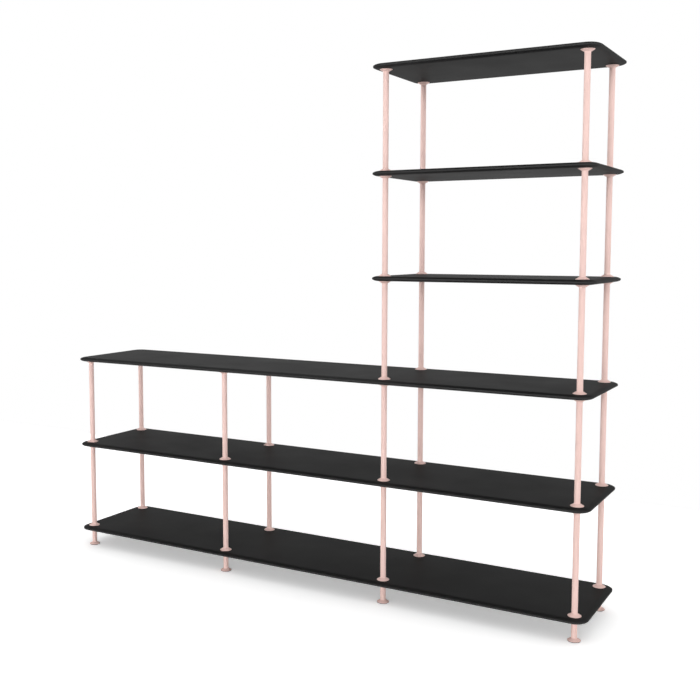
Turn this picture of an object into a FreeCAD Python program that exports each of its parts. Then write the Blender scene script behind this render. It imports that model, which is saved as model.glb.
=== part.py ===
import FreeCAD, Part
import math
import os
import Sketcher

# Stepped shelving unit: three long shelves across three bays, and three short shelves that carry
# the right-hand bay on upwards. Flared tube posts stand between the shelves in eight columns. A tie
# rod runs down the middle of each column, from a blind hole in its highest shelf to a tapped foot.
# Posts, feet, pads, rods and their holes repeat so often that flat sides stand for their rounds.
# Millimetres, +Z up, +X to the right and +Y to the back, origin on the floor under the middle.

doc = FreeCAD.newDocument("stepped_shelving_unit")

sizes = (
    ("bay_pitch", 655, "column centre to column centre along the width"),
    ("row_spacing", 300, "front column centre to back column centre"),
    ("shelf_pitch", 344.5, "one shelf to the next"),
    ("overhang", 43, "shelf edge beyond the column centres, all round"),
    ("board_thickness", 16, "shelf board"),
    ("corner_radius", 44, "shelf corner in plan"),
    ("edge_reach", 18, "how far the softened edge runs in from the rim"),
    ("edge_nose", 5, "upright band left at the rim"),
    ("tube_diameter", 19, "outside of post and foot"),
    ("tube_wall", 1.5, "wall of the post tube"),
    ("flare_diameter", 42, "flared end of post and foot"),
    ("flare_height", 8, "length of the flare along the tube"),
    ("foot_clearance", 63, "floor to the underside of the bottom shelf"),
    ("pad_diameter", 41, "glide pad under a foot"),
    ("pad_thickness", 2, "glide pad under a foot"),
    ("rod_diameter", 8, "tie rod"),
    ("rod_clearance", 0.5, "play round the rod where it passes a shelf"),
    ("thread_clearance", 0.05, "play round the rod where it is screwed in"),
    ("screw_depth", 11, "blind hole in the underside of a highest shelf"),
    ("rod_end_gap", 1, "free length past either end of a rod"),
)

sheet = doc.addObject("Spreadsheet::Sheet", "sizes")
for row, (alias, value, meaning) in enumerate(sizes, start=1):
    sheet.set(f"A{row}", meaning)
    sheet.set(f"B{row}", str(value))
    sheet.setAlias(f"B{row}", alias)
doc.recompute()

shelf_names = ("bottom_shelf", "second_shelf", "step_shelf", "fourth_shelf", "fifth_shelf", "top_shelf")
low_top_level = shelf_names.index("step_shelf")
tall_top_level = shelf_names.index("top_shelf")
column_count = 4
low_columns = (0, 1)
tall_columns = (2, 3)
rows = ("front", "back")
side_count = 16
hole_side_count = 8

# Expressions that several pieces share
column_x = [f"({2 * column - column_count + 1} * sizes.bay_pitch / 2)" for column in range(column_count)]
row_y = {"front": "(-sizes.row_spacing / 2)", "back": "(sizes.row_spacing / 2)"}
tall_middle_x = f"(({column_x[2]} + {column_x[3]}) / 2)"
half_board = "(sizes.board_thickness / 2)"
rod_hole = "(sizes.rod_diameter + 2 * sizes.rod_clearance)"
screw_hole = "(sizes.rod_diameter + 2 * sizes.thread_clearance)"
tube_bore = "(sizes.tube_diameter - 2 * sizes.tube_wall)"
tube_flat = f"(sizes.tube_diameter / 2 * cos(180 deg / {side_count}))"
flare_flat = f"(sizes.flare_diameter / 2 * cos(180 deg / {side_count}))"
post_length = "(sizes.shelf_pitch - sizes.board_thickness)"
foot_length = "(sizes.foot_clearance - sizes.pad_thickness)"


def underside(level):
    return f"(sizes.foot_clearance + {level} * sizes.shelf_pitch)"


def top_level(column):
    return low_top_level if column in low_columns else tall_top_level


def origin_plane(body, role):
    return next(feature for feature in body.Origin.OriginFeatures if feature.Role == role)


def new_sketch(body, name, role):
    sketch = body.newObject("Sketcher::SketchObject", name)
    sketch.AttachmentSupport = [(origin_plane(body, role), "")]
    sketch.MapMode = "FlatFace"
    return sketch


def dimension(sketch, name, constraint, expression):
    index = sketch.addConstraint(constraint)
    sketch.renameConstraint(index, name)
    sketch.setExpression(f"Constraints.{name}", expression)


def place(piece, x, y, z):
    piece.setExpression("Placement.Base.x", x)
    piece.setExpression("Placement.Base.y", y)
    piece.setExpression("Placement.Base.z", z)


def point(x, y):
    return FreeCAD.Vector(x, y, 0)


def draw_flat_outline(sketch, width, depth, radius):
    # Rounded rectangle about the origin. It starts halfway up its right-hand side, where the edge
    # section stands, so that side is two lines.
    x, y, r = 300, 120, 20
    lines = (
        (point(x, 0), point(x, y - r)),
        (point(x - r, y), point(r - x, y)),
        (point(-x, y - r), point(-x, r - y)),
        (point(r - x, -y), point(x - r, -y)),
        (point(x, r - y), point(x, 0)),
    )
    for start, end in lines:
        sketch.addGeometry(Part.LineSegment(start, end))
    quarter = math.pi / 2
    centres = (point(x - r, y - r), point(r - x, y - r), point(r - x, r - y), point(x - r, r - y))
    for turn, centre in enumerate(centres):
        circle = Part.Circle(centre, FreeCAD.Vector(0, 0, 1), r)
        sketch.addGeometry(Part.ArcOfCircle(circle, turn * quarter, (turn + 1) * quarter))
        arc = len(lines) + turn
        sketch.addConstraint(Sketcher.Constraint("Tangent", turn, 2, arc, 1))
        sketch.addConstraint(Sketcher.Constraint("Tangent", arc, 2, turn + 1, 1))
    for arc in (6, 7, 8):
        sketch.addConstraint(Sketcher.Constraint("Equal", 5, arc))
    sketch.addConstraint(Sketcher.Constraint("Coincident", 4, 2, 0, 1))
    sketch.addConstraint(Sketcher.Constraint("PointOnObject", 0, 1, -1))
    sketch.addConstraint(Sketcher.Constraint("Vertical", 0))
    sketch.addConstraint(Sketcher.Constraint("Horizontal", 1))
    sketch.addConstraint(Sketcher.Constraint("Vertical", 2))
    sketch.addConstraint(Sketcher.Constraint("Horizontal", 3))
    sketch.addConstraint(Sketcher.Constraint("Vertical", 4))
    sketch.addConstraint(Sketcher.Constraint("Symmetric", 1, 1, 3, 1, -1, 1))
    dimension(sketch, "width", Sketcher.Constraint("DistanceX", 2, 1, 0, 1, 2 * x), width)
    dimension(sketch, "depth", Sketcher.Constraint("DistanceY", 3, 1, 1, 1, 2 * y), depth)
    dimension(sketch, "radius", Sketcher.Constraint("Radius", 5, r), radius)


def draw_edge_section(sketch, flat_half_width):
    # Section of the softened edge: two shallow arcs, tangent to the faces of the board, that end at
    # an upright nose.
    x, reach, face, nose, bend = 300, 18, 8, 2.5, 32.2
    lean = math.acos(reach / bend)
    quarter = math.pi / 2
    normal = FreeCAD.Vector(0, 0, 1)
    sketch.addGeometry(Part.LineSegment(point(x, -face), point(x, face)))
    sketch.addGeometry(Part.ArcOfCircle(Part.Circle(point(x, face - bend), normal, bend), lean, quarter))
    sketch.addGeometry(Part.LineSegment(point(x + reach, -nose), point(x + reach, nose)))
    sketch.addGeometry(Part.ArcOfCircle(Part.Circle(point(x, bend - face), normal, bend), -quarter, -lean))
    sketch.addConstraint(Sketcher.Constraint("Coincident", 0, 2, 1, 2))
    sketch.addConstraint(Sketcher.Constraint("Coincident", 1, 1, 2, 2))
    sketch.addConstraint(Sketcher.Constraint("Coincident", 2, 1, 3, 2))
    sketch.addConstraint(Sketcher.Constraint("Coincident", 3, 1, 0, 1))
    sketch.addConstraint(Sketcher.Constraint("Vertical", 1, 3, 0, 2))
    sketch.addConstraint(Sketcher.Constraint("Vertical", 3, 3, 0, 1))
    sketch.addConstraint(Sketcher.Constraint("Symmetric", 0, 1, 0, 2, -1))
    sketch.addConstraint(Sketcher.Constraint("Symmetric", 2, 1, 2, 2, -1))
    dimension(sketch, "inner", Sketcher.Constraint("DistanceX", -1, 1, 0, 2, x), flat_half_width)
    dimension(sketch, "reach", Sketcher.Constraint("DistanceX", 0, 2, 2, 2, reach), "sizes.edge_reach")
    dimension(sketch, "face", Sketcher.Constraint("DistanceY", 0, 1, 0, 2, 2 * face),
              "sizes.board_thickness")
    dimension(sketch, "nose", Sketcher.Constraint("DistanceY", 2, 1, 2, 2, 2 * nose), "sizes.edge_nose")


def shape_bar(bar, diameter, length):
    bar.Polygon = side_count
    bar.setExpression("Circumradius", f"{diameter} / 2")
    bar.setExpression("Height", length)


def shape_hole(hole, diameter, length):
    # A hole's flats lie on its true round, so what fits in the round also fits in the flats.
    hole.Polygon = hole_side_count
    hole.setExpression("Circumradius", f"{diameter} / 2 / cos(180 deg / {hole_side_count})")
    hole.setExpression("Height", length)


def drill(body, name, spots, diameter, depth):
    # Holes square to the board, up from its underside.
    for number, (x, y) in enumerate(spots, start=1):
        hole = body.newObject("PartDesign::SubtractivePrism", f"{name}_{number}")
        shape_hole(hole, diameter, depth)
        place(hole, x, y, f"-{half_board}")


def make_shelf(name, level, columns):
    # One board: a flat slab, its softened edge swept once round it, and the holes of its columns.
    body = doc.addObject("PartDesign::Body", name)
    bays = len(columns) - 1
    width = f"({bays} * sizes.bay_pitch + 2 * sizes.overhang)"
    depth = "(sizes.row_spacing + 2 * sizes.overhang)"
    flat_width = f"({width} - 2 * sizes.edge_reach)"

    outline = new_sketch(body, f"{name}_outline", "XY_Plane")
    draw_flat_outline(outline, flat_width, f"{depth} - 2 * sizes.edge_reach",
                      "sizes.corner_radius - sizes.edge_reach")
    slab = body.newObject("PartDesign::Pad", f"{name}_slab")
    slab.Profile = outline
    slab.SideType = "Symmetric"
    slab.setExpression("Length", "sizes.board_thickness")

    section = new_sketch(body, f"{name}_edge_section", "XZ_Plane")
    draw_edge_section(section, f"{flat_width} / 2")
    edge = body.newObject("PartDesign::AdditivePipe", f"{name}_edge")
    edge.Profile = section
    edge.Spine = (outline, [f"Edge{index}" for index in range(1, 10)])

    middle_x = "0" if len(columns) == column_count else tall_middle_x
    through = []
    blind = []
    for column in columns:
        for row in rows:
            spot = (f"{column_x[column]} - {middle_x}", row_y[row])
            (blind if top_level(column) == level else through).append(spot)
    drill(body, f"{name}_rod_hole", through, rod_hole, "sizes.board_thickness")
    drill(body, f"{name}_screw_hole", blind, screw_hole, "sizes.screw_depth")
    place(body, middle_x, "0", f"{underside(level)} + {half_board}")
    return body


def make_bar(name, diameter, length, x, y, z):
    bar = doc.addObject("Part::Prism", name)
    shape_bar(bar, diameter, length)
    place(bar, x, y, z)
    return bar


def make_flare(name, low_flat, high_flat, bottom):
    # Square pyramids turned a side at a time: what they have in common is a cone with flat sides.
    pyramids = []
    for step in range(side_count // 4):
        pyramid = doc.addObject("Part::Wedge", f"{name}_pyramid_{step + 1}")
        pyramid.Ymin = 0
        pyramid.setExpression("Ymax", "sizes.flare_height")
        for side in ("X", "Z"):
            pyramid.setExpression(f"{side}min", f"-{low_flat}")
            pyramid.setExpression(f"{side}max", low_flat)
            pyramid.setExpression(f"{side}2min", f"-{high_flat}")
            pyramid.setExpression(f"{side}2max", high_flat)
        upright = FreeCAD.Rotation(FreeCAD.Vector(1, 0, 0), 90)
        turn = FreeCAD.Rotation(FreeCAD.Vector(0, 0, 1), (step + 0.5) * 360 / side_count)
        pyramid.Placement = FreeCAD.Placement(FreeCAD.Vector(), turn * upright)
        place(pyramid, "0", "0", bottom)
        pyramids.append(pyramid)
    flare = doc.addObject("Part::MultiCommon", name)
    flare.Shapes = pyramids
    return flare


def make_spool_form(name, length, bore):
    # A tube with a flare at both ends, as posts and feet have, and its bore.
    low_flare = make_flare(f"{name}_low_flare", flare_flat, tube_flat, "0")
    high_flare = make_flare(f"{name}_high_flare", tube_flat, flare_flat, f"{length} - sizes.flare_height")
    stem = make_bar(f"{name}_stem", "sizes.tube_diameter", length, "0", "0", "0")
    outside = doc.addObject("Part::MultiFuse", f"{name}_outside")
    outside.Shapes = [low_flare, stem, high_flare]
    outside.Refine = True
    inside = doc.addObject("Part::Prism", f"{name}_inside")
    shape_hole(inside, bore, length)
    return outside, inside


def make_spool(name, form, x, y, z):
    spool = doc.addObject("Part::Cut", name)
    spool.Base, spool.Tool = form
    place(spool, x, y, z)
    return spool


def group(name, pieces):
    compound = doc.addObject("Part::Compound", name)
    compound.Links = pieces
    return compound


sub_parts = []

for level, shelf_name in enumerate(shelf_names):
    columns = range(column_count) if level <= low_top_level else tall_columns
    sub_parts.append(make_shelf(shelf_name, level, columns))

post_form = make_spool_form("post", post_length, tube_bore)
foot_form = make_spool_form("foot", foot_length, screw_hole)
for row in rows:
    feet = []
    pads = []
    for column in range(column_count):
        x, y = column_x[column], row_y[row]
        number = column + 1
        for level in range(top_level(column)):
            post_bottom = f"{underside(level)} + sizes.board_thickness"
            post_name = f"{row}_post_{number}_tier_{level + 1}"
            sub_parts.append(make_spool(post_name, post_form, x, y, post_bottom))
        feet.append(make_spool(f"{row}_foot_{number}", foot_form, x, y, "sizes.pad_thickness"))
        pads.append(make_bar(f"{row}_pad_{number}", "sizes.pad_diameter", "sizes.pad_thickness", x, y, "0"))
        rod_bottom = "(sizes.pad_thickness + sizes.rod_end_gap)"
        rod_top = f"({underside(top_level(column))} + sizes.screw_depth - sizes.rod_end_gap)"
        rod_length = f"{rod_top} - {rod_bottom}"
        rod_name = f"{row}_tie_rod_{number}"
        sub_parts.append(make_bar(rod_name, "sizes.rod_diameter", rod_length, x, y, rod_bottom))
    sub_parts.append(group(f"{row}_feet", feet))
    sub_parts.append(group(f"{row}_foot_pads", pads))

doc.recompute()

for piece in doc.Objects:
    if "Invalid" in piece.State or "Error" in piece.State:
        raise RuntimeError(f"{piece.Label} did not build: {piece.State}")
for piece in sub_parts:
    if piece.Shape.isNull() or not piece.Shape.isValid():
        raise RuntimeError(f"{piece.Label} has no valid shape")

os.makedirs("parts", exist_ok=True)
for piece in sub_parts:
    piece.Shape.exportStep(f"parts/{piece.Label}.step")
    print(piece.Label, len(piece.Shape.Solids), "solids", round(piece.Shape.Volume / 1000, 2), "cm3")
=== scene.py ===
import math
import bmesh
import bpy
from mathutils import Matrix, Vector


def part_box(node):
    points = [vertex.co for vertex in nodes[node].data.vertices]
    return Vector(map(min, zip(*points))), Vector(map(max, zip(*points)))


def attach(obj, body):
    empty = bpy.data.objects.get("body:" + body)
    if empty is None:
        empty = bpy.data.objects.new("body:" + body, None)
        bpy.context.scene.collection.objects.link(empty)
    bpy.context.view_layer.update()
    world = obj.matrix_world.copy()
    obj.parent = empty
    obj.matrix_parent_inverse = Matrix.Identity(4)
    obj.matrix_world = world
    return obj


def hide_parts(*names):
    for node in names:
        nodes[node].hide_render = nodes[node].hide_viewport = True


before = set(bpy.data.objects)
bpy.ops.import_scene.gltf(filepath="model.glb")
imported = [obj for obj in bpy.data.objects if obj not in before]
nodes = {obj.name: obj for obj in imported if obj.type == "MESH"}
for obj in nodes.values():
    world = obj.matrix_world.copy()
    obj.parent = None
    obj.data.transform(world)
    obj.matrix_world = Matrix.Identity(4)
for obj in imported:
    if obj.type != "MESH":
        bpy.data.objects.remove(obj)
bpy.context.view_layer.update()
scene = bpy.context.scene
print("frame loaded")

noiseSpread = (0.3, 0.7)  # Most of a noise pattern lies between these values
sharpAngle = 35  # In degrees: edges with a wider angle stay sharp


def remap(tree, value, before, after):
    node = tree.nodes.new("ShaderNodeMapRange")
    sockets = node.inputs
    sockets["From Min"].default_value, sockets["From Max"].default_value = before
    sockets["To Min"].default_value, sockets["To Max"].default_value = after
    tree.links.new(value, sockets["Value"])
    return node


def newMaterial(name, look):
    material = bpy.data.materials.new(name)
    material.use_nodes = True
    sockets = material.node_tree.nodes["Principled BSDF"].inputs
    sockets["Metallic"].default_value = look["metallic"]
    sockets["Roughness"].default_value = look["rough"][0]
    sockets["Specular IOR Level"].default_value = look["specular"]
    return material


def addNoise(material, scale, detail, stretch):
    tree = material.node_tree
    place = tree.nodes.new("ShaderNodeTexCoord")
    mapping = tree.nodes.new("ShaderNodeMapping")
    mapping.inputs["Scale"].default_value = stretch
    noise = tree.nodes.new("ShaderNodeTexNoise")
    noise.inputs["Scale"].default_value = scale
    noise.inputs["Detail"].default_value = detail
    tree.links.new(place.outputs["Object"], mapping.inputs["Vector"])
    tree.links.new(mapping.outputs["Vector"], noise.inputs["Vector"])
    return noise.outputs["Fac"]


def colourBetween(material, factor, low, high):
    tree = material.node_tree
    ramp = tree.nodes.new("ShaderNodeValToRGB")
    for stop, position, colour in zip(ramp.color_ramp.elements, noiseSpread, (low, high)):
        stop.position = position
        stop.color = (*colour, 1)
    tree.links.new(factor, ramp.inputs["Fac"])
    tree.links.new(ramp.outputs["Color"], tree.nodes["Principled BSDF"].inputs["Base Color"])


def roughnessBetween(material, factor, low, high):
    tree = material.node_tree
    spread = remap(tree, factor, noiseSpread, (low, high))
    tree.links.new(spread.outputs["Result"], tree.nodes["Principled BSDF"].inputs["Roughness"])


def bumpFrom(material, factor, strength, distance):
    tree = material.node_tree
    bump = tree.nodes.new("ShaderNodeBump")
    bump.inputs["Strength"].default_value = strength
    bump.inputs["Distance"].default_value = distance
    tree.links.new(factor, bump.inputs["Height"])
    tree.links.new(bump.outputs["Normal"], tree.nodes["Principled BSDF"].inputs["Normal"])


def makeFinish(name, look):
    material = newMaterial(name, look)
    colourBetween(material, addNoise(material, *look["mottle"]), look["dark"], look["light"])
    roughnessBetween(material, addNoise(material, *look["sheen"]), *look["rough"])
    if "peel" in look:
        bumpFrom(material, addNoise(material, *look["peel"]), *look["bump"])
    return material


# Mottle, sheen and peel are noise patterns: scale, detail and stretch
even, long, drawn = (1, 1, 1), (1, 1, 0.3), (1, 1, 0.1)
lacquerLook = {"metallic": 0, "specular": 0.017, "faceOn": 23, "rough": (0.52, 0.58),
               "dark": (0.0035, 0.0035, 0.0036), "light": (0.005, 0.005, 0.0051),
               "mottle": (9, 3, even), "sheen": (6, 2, even), "peel": (450, 2, even), "bump": (0.06, 0.0002)}
coatLook = {"metallic": 0, "specular": 0.4, "rough": (0.45, 0.55),
            "dark": (0.815, 0.573, 0.524), "light": (0.845, 0.598, 0.548),
            "mottle": (60, 3, long), "sheen": (200, 3, even), "peel": (900, 2, even), "bump": (0.15, 0.0002)}
steelLook = {"metallic": 1, "specular": 0.5, "rough": (0.28, 0.4),
             "dark": (0.48, 0.48, 0.49), "light": (0.62, 0.62, 0.62),
             "mottle": (300, 3, drawn), "sheen": (300, 3, drawn)}
rubberLook = {"metallic": 0, "specular": 0.3, "rough": (0.7, 0.85),
              "dark": (0.012, 0.012, 0.012), "light": (0.02, 0.02, 0.02),
              "mottle": (400, 3, even), "sheen": (400, 3, even)}

lacquer = makeFinish("blackLacquer", lacquerLook)
# Matt lacquer reflects about three parts in a hundred face on, and little more at a low angle
faceOn = (lacquerLook["faceOn"],) * 3
lacquer.node_tree.nodes["Principled BSDF"].inputs["Specular Tint"].default_value = (*faceOn, 1)
coat = makeFinish("pinkPowderCoat", coatLook)
steel = makeFinish("zincSteel", steelLook)
rubber = makeFinish("padRubber", rubberLook)
print("materials made")


def addPiece(name, shape, material, slotName, *replaced):
    bmesh.ops.recalc_face_normals(shape, faces=shape.faces)
    mesh = bpy.data.meshes.new(name)
    shape.to_mesh(mesh)
    shape.free()
    mesh.materials.append(material)
    mesh.set_sharp_from_angle(angle=math.radians(sharpAngle))
    piece = bpy.data.objects.new(name, mesh)
    scene.collection.objects.link(piece)
    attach(piece, "root")
    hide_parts(*replaced)


def camelName(node):
    first, *rest = node.split("_")
    return first + "".join(word.capitalize() for word in rest)


def smoothAll(shape):
    for face in shape.faces:
        face.smooth = True


# Boards: a rounded slab as high as the nose, with the arc of the softened edge inset above and below it
boardLook = {"corner": 0.044, "reach": 0.018, "nose": 0.005, "soft": 0.0005, "cornerSteps": 20,
             "arcSteps": 10, "softSteps": 4, "hole": 0.009, "holeSteps": 24, "rodGap": 0.001}
rods = [name for name in nodes if "_tie_rod_" in name]


def edgeSection(halfThickness):
    # Inset from the rim and height over the middle of the board, from the nose up to the flat face
    reach, noseTop, soft = boardLook["reach"], boardLook["nose"] / 2, boardLook["soft"]
    drop = halfThickness - noseTop
    bend = (reach ** 2 + drop ** 2) / (2 * drop)
    arc = []
    for step in range(boardLook["arcSteps"] + 1):
        inset = soft + (reach - soft) * step / boardLook["arcSteps"]
        arc.append((inset, halfThickness - bend + math.sqrt(bend ** 2 - (reach - inset) ** 2)))
    # A quadratic curve softens the corner between the nose and the arc
    startInset, startHeight = arc[0]
    rounding = []
    for step in range(boardLook["softSteps"]):
        share = step / boardLook["softSteps"]
        left = 1 - share
        height = (noseTop - soft) * left ** 2 + 2 * noseTop * share * left + startHeight * share ** 2
        rounding.append((startInset * share ** 2, height))
    return rounding + arc


def drillHole(shape, centre, low, high):
    # Wall of a hole, with the edges round its lower and its upper end
    ring = bmesh.ops.create_circle(shape, segments=boardLook["holeSteps"], radius=boardLook["hole"] / 2,
                                   matrix=Matrix.Translation((centre.x, centre.y, low)))["verts"]
    lowEdges = list(dict.fromkeys(edge for vertex in ring for edge in vertex.link_edges))
    wall = bmesh.ops.extrude_edge_only(shape, edges=lowEdges)["geom"]
    bmesh.ops.translate(shape, verts=[item for item in wall if isinstance(item, bmesh.types.BMVert)],
                        vec=(0, 0, high - low))
    highEdges = [item for item in wall if isinstance(item, bmesh.types.BMEdge)]
    return lowEdges, highEdges


def buildBoard(node):
    low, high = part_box(node)
    middle, half = (low + high) / 2, (high - low) / 2
    section = edgeSection(half.z)
    noseHeight = section[0][1]
    shape = bmesh.new()
    bmesh.ops.create_grid(shape, x_segments=1, y_segments=1, size=1,
                          matrix=Matrix.Translation((0, 0, -noseHeight)))
    bmesh.ops.scale(shape, vec=(half.x, half.y, 1), verts=shape.verts)
    bmesh.ops.bevel(shape, geom=shape.verts[:], offset=boardLook["corner"], offset_type="OFFSET",
                    affect="VERTICES", segments=boardLook["cornerSteps"], profile=0.5, material=-1)
    shape.faces.ensure_lookup_table()
    underside = shape.faces[0]
    grown = bmesh.ops.extrude_face_region(shape, geom=[underside])["geom"]
    topside = next(item for item in grown if isinstance(item, bmesh.types.BMFace))
    bmesh.ops.translate(shape, verts=topside.verts, vec=(0, 0, 2 * noseHeight))
    bmesh.ops.recalc_face_normals(shape, faces=shape.faces)
    for face in (topside, underside):
        for (inset, height), (nextInset, nextHeight) in zip(section, section[1:]):
            bmesh.ops.inset_region(shape, faces=[face], thickness=nextInset - inset,
                                   depth=nextHeight - height, use_even_offset=True)
    bmesh.ops.translate(shape, verts=shape.verts, vec=middle)
    topEdges, lowEdges = topside.edges[:], underside.edges[:]
    bmesh.ops.delete(shape, geom=[topside, underside], context="FACES_ONLY")
    for rod in rods:
        rodLow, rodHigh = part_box(rod)
        if rodHigh.z < low.z or not low.x < rodLow.x < high.x:
            continue
        through = rodHigh.z > high.z
        holeTop = high.z if through else rodHigh.z + boardLook["rodGap"]
        floorEdges, roofEdges = drillHole(shape, (rodLow + rodHigh) / 2, low.z, holeTop)
        lowEdges += floorEdges
        if through:
            topEdges += roofEdges
        else:
            bmesh.ops.edgeloop_fill(shape, edges=roofEdges)
    smoothAll(shape)
    # The two faces are filled in round the holes after the smoothing, so they stay flat
    bmesh.ops.triangle_fill(shape, use_beauty=True, edges=topEdges)
    bmesh.ops.triangle_fill(shape, use_beauty=True, edges=lowEdges)
    addPiece(camelName(node), shape, lacquer, "shelf_lacquer", node)


for node in sorted(nodes):
    if node.endswith("_shelf"):
        buildBoard(node)
print("boards built")

# Posts and feet: tubes spun with a flare and a thin rim at both ends
spoolLook = {"tube": 0.0095, "flare": 0.021, "flareHeight": 0.008, "rim": 0.0009, "round": 0.0003,
             "bore": 0.008, "tap": 0.00405, "turns": 48}


def spinProfile(shape, centre, profile, turns):
    loop = [shape.verts.new((centre.x + radius, centre.y, z)) for radius, z in profile]
    edges = [shape.edges.new((vertex, loop[index - 1])) for index, vertex in enumerate(loop)]
    bmesh.ops.spin(shape, geom=loop + edges, cent=(centre.x, centre.y, 0), axis=(0, 0, 1),
                   angle=2 * math.pi, steps=turns, use_merge=True)


def addSpool(shape, centre, bottom, top, bore):
    flare, soft = spoolLook["flare"], spoolLook["round"]
    end = [(bore, 0), (flare - soft, 0), (flare, soft), (flare, spoolLook["rim"]),
           (spoolLook["tube"], spoolLook["flareHeight"])]
    profile = [(radius, bottom + z) for radius, z in end]
    profile += [(radius, top - z) for radius, z in reversed(end)]
    spinProfile(shape, centre, profile, spoolLook["turns"])


for node in sorted(nodes):
    if "_post_" in node:
        low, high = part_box(node)
        shape = bmesh.new()
        addSpool(shape, (low + high) / 2, low.z, high.z, spoolLook["bore"])
        smoothAll(shape)
        addPiece(camelName(node), shape, coat, "post_powder_coat", node)

# Pads: discs with a small rounding at the floor, welded where the spin meets its axis
padLook = {"radius": 0.0205, "round": 0.0004, "weld": 0.00001, "turns": 48}
for row in ("front", "back"):
    feet, pads = bmesh.new(), bmesh.new()
    footLow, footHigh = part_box(f"{row}_feet")
    padLow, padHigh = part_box(f"{row}_foot_pads")
    radius, soft = padLook["radius"], padLook["round"]
    padProfile = [(0, padLow.z), (radius - soft, padLow.z), (radius, padLow.z + soft),
                  (radius, padHigh.z), (0, padHigh.z)]
    for column in (1, 2, 3, 4):
        rodLow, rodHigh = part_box(f"{row}_tie_rod_{column}")
        centre = (rodLow + rodHigh) / 2
        addSpool(feet, centre, footLow.z, footHigh.z, spoolLook["tap"])
        spinProfile(pads, centre, padProfile, padLook["turns"])
    bmesh.ops.remove_doubles(pads, verts=pads.verts, dist=padLook["weld"])
    smoothAll(feet)
    smoothAll(pads)
    addPiece(f"{row}Feet", feet, coat, "post_powder_coat", f"{row}_feet")
    addPiece(f"{row}FootPads", pads, rubber, "foot_pad_rubber", f"{row}_foot_pads")

for rod in rods:
    nodes[rod].material_slots[0].material = steel
print("posts, feet and pads built")

# Studio: a white floor in a light tent, with a low bright band that is strongest in front and on the right
# The floor's glow near the unit and away from it: the weaker glow near the unit is painted shade
studioLook = {"near": -6, "far": 1.6, "side": 6, "shadow": (0.926, 0.093), "fade": 0.2, "lift": (0.34, 0.56),
              "groundTop": (0.3, 0.6), "leastFlat": 0.0001}
floorLook = {"metallic": 0, "specular": 0, "rough": (0.9, 0.9), "colour": (0.93, 0.93, 0.93)}
tentHeights = (0.0, 0.12, 0.3, 0.6, 1.0)
tentLook = {"front": (1.0, 7.4, 0.3, 0.3, 1.1), "right": (1.0, 4.2, 0.4, 0.3, 1.1),
            "back": (1.0, 1.0, 0.3, 0.3, 1.1), "left": (1.0, 2.4, 0.2, 0.3, 1.1)}
near, far = studioLook["near"], studioLook["far"]
floorShape = bmesh.new()
bmesh.ops.create_grid(floorShape, x_segments=1, y_segments=1, size=1)
bmesh.ops.scale(floorShape, vec=(studioLook["side"], (far - near) / 2, 1), verts=floorShape.verts)
bmesh.ops.translate(floorShape, vec=(0, (far + near) / 2, 0), verts=floorShape.verts)
floorMesh = bpy.data.meshes.new("studioFloor")
floorShape.to_mesh(floorMesh)
floorShape.free()
floor = bpy.data.objects.new("studioFloor", floorMesh)
scene.collection.objects.link(floor)
floorPaint = newMaterial("floorPaint", floorLook)
paintTree = floorPaint.node_tree
paint = paintTree.nodes["Principled BSDF"]
paint.inputs["Base Color"].default_value = (*floorLook["colour"], 1)
paint.inputs["Emission Color"].default_value = (1, 1, 1, 1)


def combine(tree, operation, first, second):
    node = tree.nodes.new("ShaderNodeMath")
    node.operation = operation
    for socket, value in zip(node.inputs, (first, second)):
        if isinstance(value, (int, float)):
            socket.default_value = value
        else:
            tree.links.new(value, socket)
    return node.outputs["Value"]


def rayShares(tree):
    # One for rays from the camera, and one for rays from gloss or through glass
    path = tree.nodes.new("ShaderNodeLightPath").outputs
    return path["Is Camera Ray"], combine(tree, "MAXIMUM", path["Is Glossy Ray"], path["Is Transmission Ray"])


def vectorStep(operation, first, second=None):
    node = paintTree.nodes.new("ShaderNodeVectorMath")
    node.operation = operation
    paintTree.links.new(first, node.inputs[0])
    if second:
        node.inputs[1].default_value = second
    return node.outputs["Value" if operation == "LENGTH" else "Vector"]


# The floor glows for the camera and for gloss alone, and fades to white away from the shadow under the unit:
# its weaker glow near the unit is painted shade round the cast shadow
floorPlace = paintTree.nodes.new("ShaderNodeTexCoord")
fromMiddle = vectorStep("ABSOLUTE", floorPlace.outputs["Object"])
beyond = vectorStep("SUBTRACT", fromMiddle, (*studioLook["shadow"], 0))
distance = vectorStep("LENGTH", vectorStep("MAXIMUM", beyond, (0, 0, 0)))
fade = remap(paintTree, distance, (0, studioLook["fade"]), studioLook["lift"])
fade.interpolation_type = "SMOOTHSTEP"
seen = combine(paintTree, "MAXIMUM", *rayShares(paintTree))
lift = combine(paintTree, "MULTIPLY", seen, fade.outputs["Result"])
paintTree.links.new(lift, paint.inputs["Emission Strength"])
floorMesh.materials.append(floorPaint)

world = bpy.data.worlds.new("studioWorld")
scene.world = world
world.use_nodes = True
world.cycles.sampling_method = "NONE"
tree = world.node_tree

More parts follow.
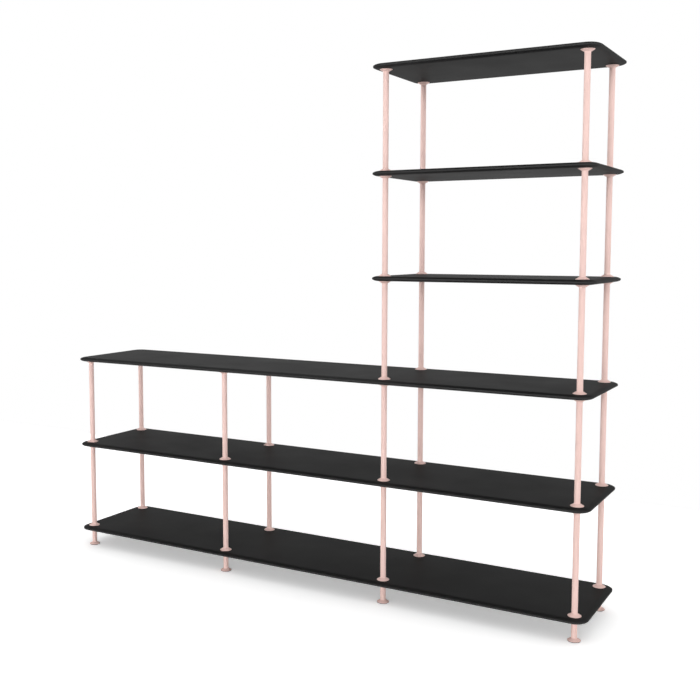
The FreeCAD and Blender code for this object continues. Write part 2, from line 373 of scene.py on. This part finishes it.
# Each side of the tent has its own strengths by height, and a direction shares in the sides that it faces
direction = tree.nodes.new("ShaderNodeTexCoord")
directionParts = tree.nodes.new("ShaderNodeSeparateXYZ")
tree.links.new(direction.outputs["Generated"], directionParts.inputs["Vector"])
alongX, alongY, alongZ = directionParts.outputs
squareX, squareY = combine(tree, "MULTIPLY", alongX, alongX), combine(tree, "MULTIPLY", alongY, alongY)
flatSquare = combine(tree, "MAXIMUM", combine(tree, "ADD", squareX, squareY), studioLook["leastFlat"])
lowest, tentRise = tentHeights[0], tentHeights[-1] - tentHeights[0]
height = combine(tree, "DIVIDE", combine(tree, "SUBTRACT", alongZ, lowest), tentRise)
facing = {"front": combine(tree, "MULTIPLY", alongY, -1), "right": alongX, "back": alongY,
          "left": combine(tree, "MULTIPLY", alongX, -1)}
tent = None
for side, strengths in tentLook.items():
    ramp = tree.nodes.new("ShaderNodeValToRGB")
    stops = ramp.color_ramp.elements
    for place, strength in zip(tentHeights, strengths):
        position = (place - lowest) / tentRise
        stop = stops[0] if position == 0 else stops[-1] if position == 1 else stops.new(position)
        stop.color = (strength, strength, strength, 1)
    tree.links.new(height, ramp.inputs["Fac"])
    towards = combine(tree, "MAXIMUM", facing[side], 0)
    share = combine(tree, "DIVIDE", combine(tree, "MULTIPLY", towards, towards), flatSquare)
    glow = combine(tree, "MULTIPLY", share, ramp.outputs["Color"])
    tent = glow if tent is None else combine(tree, "ADD", tent, glow)
# Gloss sees the white ground that the camera sees, up to a low height, or the tent where that is brighter
fromCamera, fromGloss = rayShares(tree)
groundFade = remap(tree, alongZ, studioLook["groundTop"], (1, 0))
glossGround = combine(tree, "MULTIPLY", fromGloss, groundFade.outputs["Result"])
ground = tree.nodes.new("ShaderNodeMix")
ground.inputs["B"].default_value = 1
tree.links.new(fromCamera, ground.inputs["Factor"])
tree.links.new(combine(tree, "MAXIMUM", tent, glossGround), ground.inputs["A"])
sky = tree.nodes["Background"]
sky.inputs["Color"].default_value = (1, 1, 1, 1)
tree.links.new(ground.outputs["Result"], sky.inputs["Strength"])
scene.view_settings.view_transform = "Standard"

# The camera stands where the photograph was taken from
cameraLook = {"place": (1.757, -3.065, 1.211), "down": 5.01, "turn": 30.10, "lens": 50.13,
              "shift": (0.0471, -0.0261)}
cameraData = bpy.data.cameras.new("photoCamera")
camera = bpy.data.objects.new("photoCamera", cameraData)
scene.collection.objects.link(camera)
camera.location = cameraLook["place"]
camera.rotation_euler = (math.radians(90 - cameraLook["down"]), 0, math.radians(cameraLook["turn"]))
cameraData.lens = cameraLook["lens"]
cameraData.shift_x, cameraData.shift_y = cameraLook["shift"]
scene.camera = camera
print("studio set")
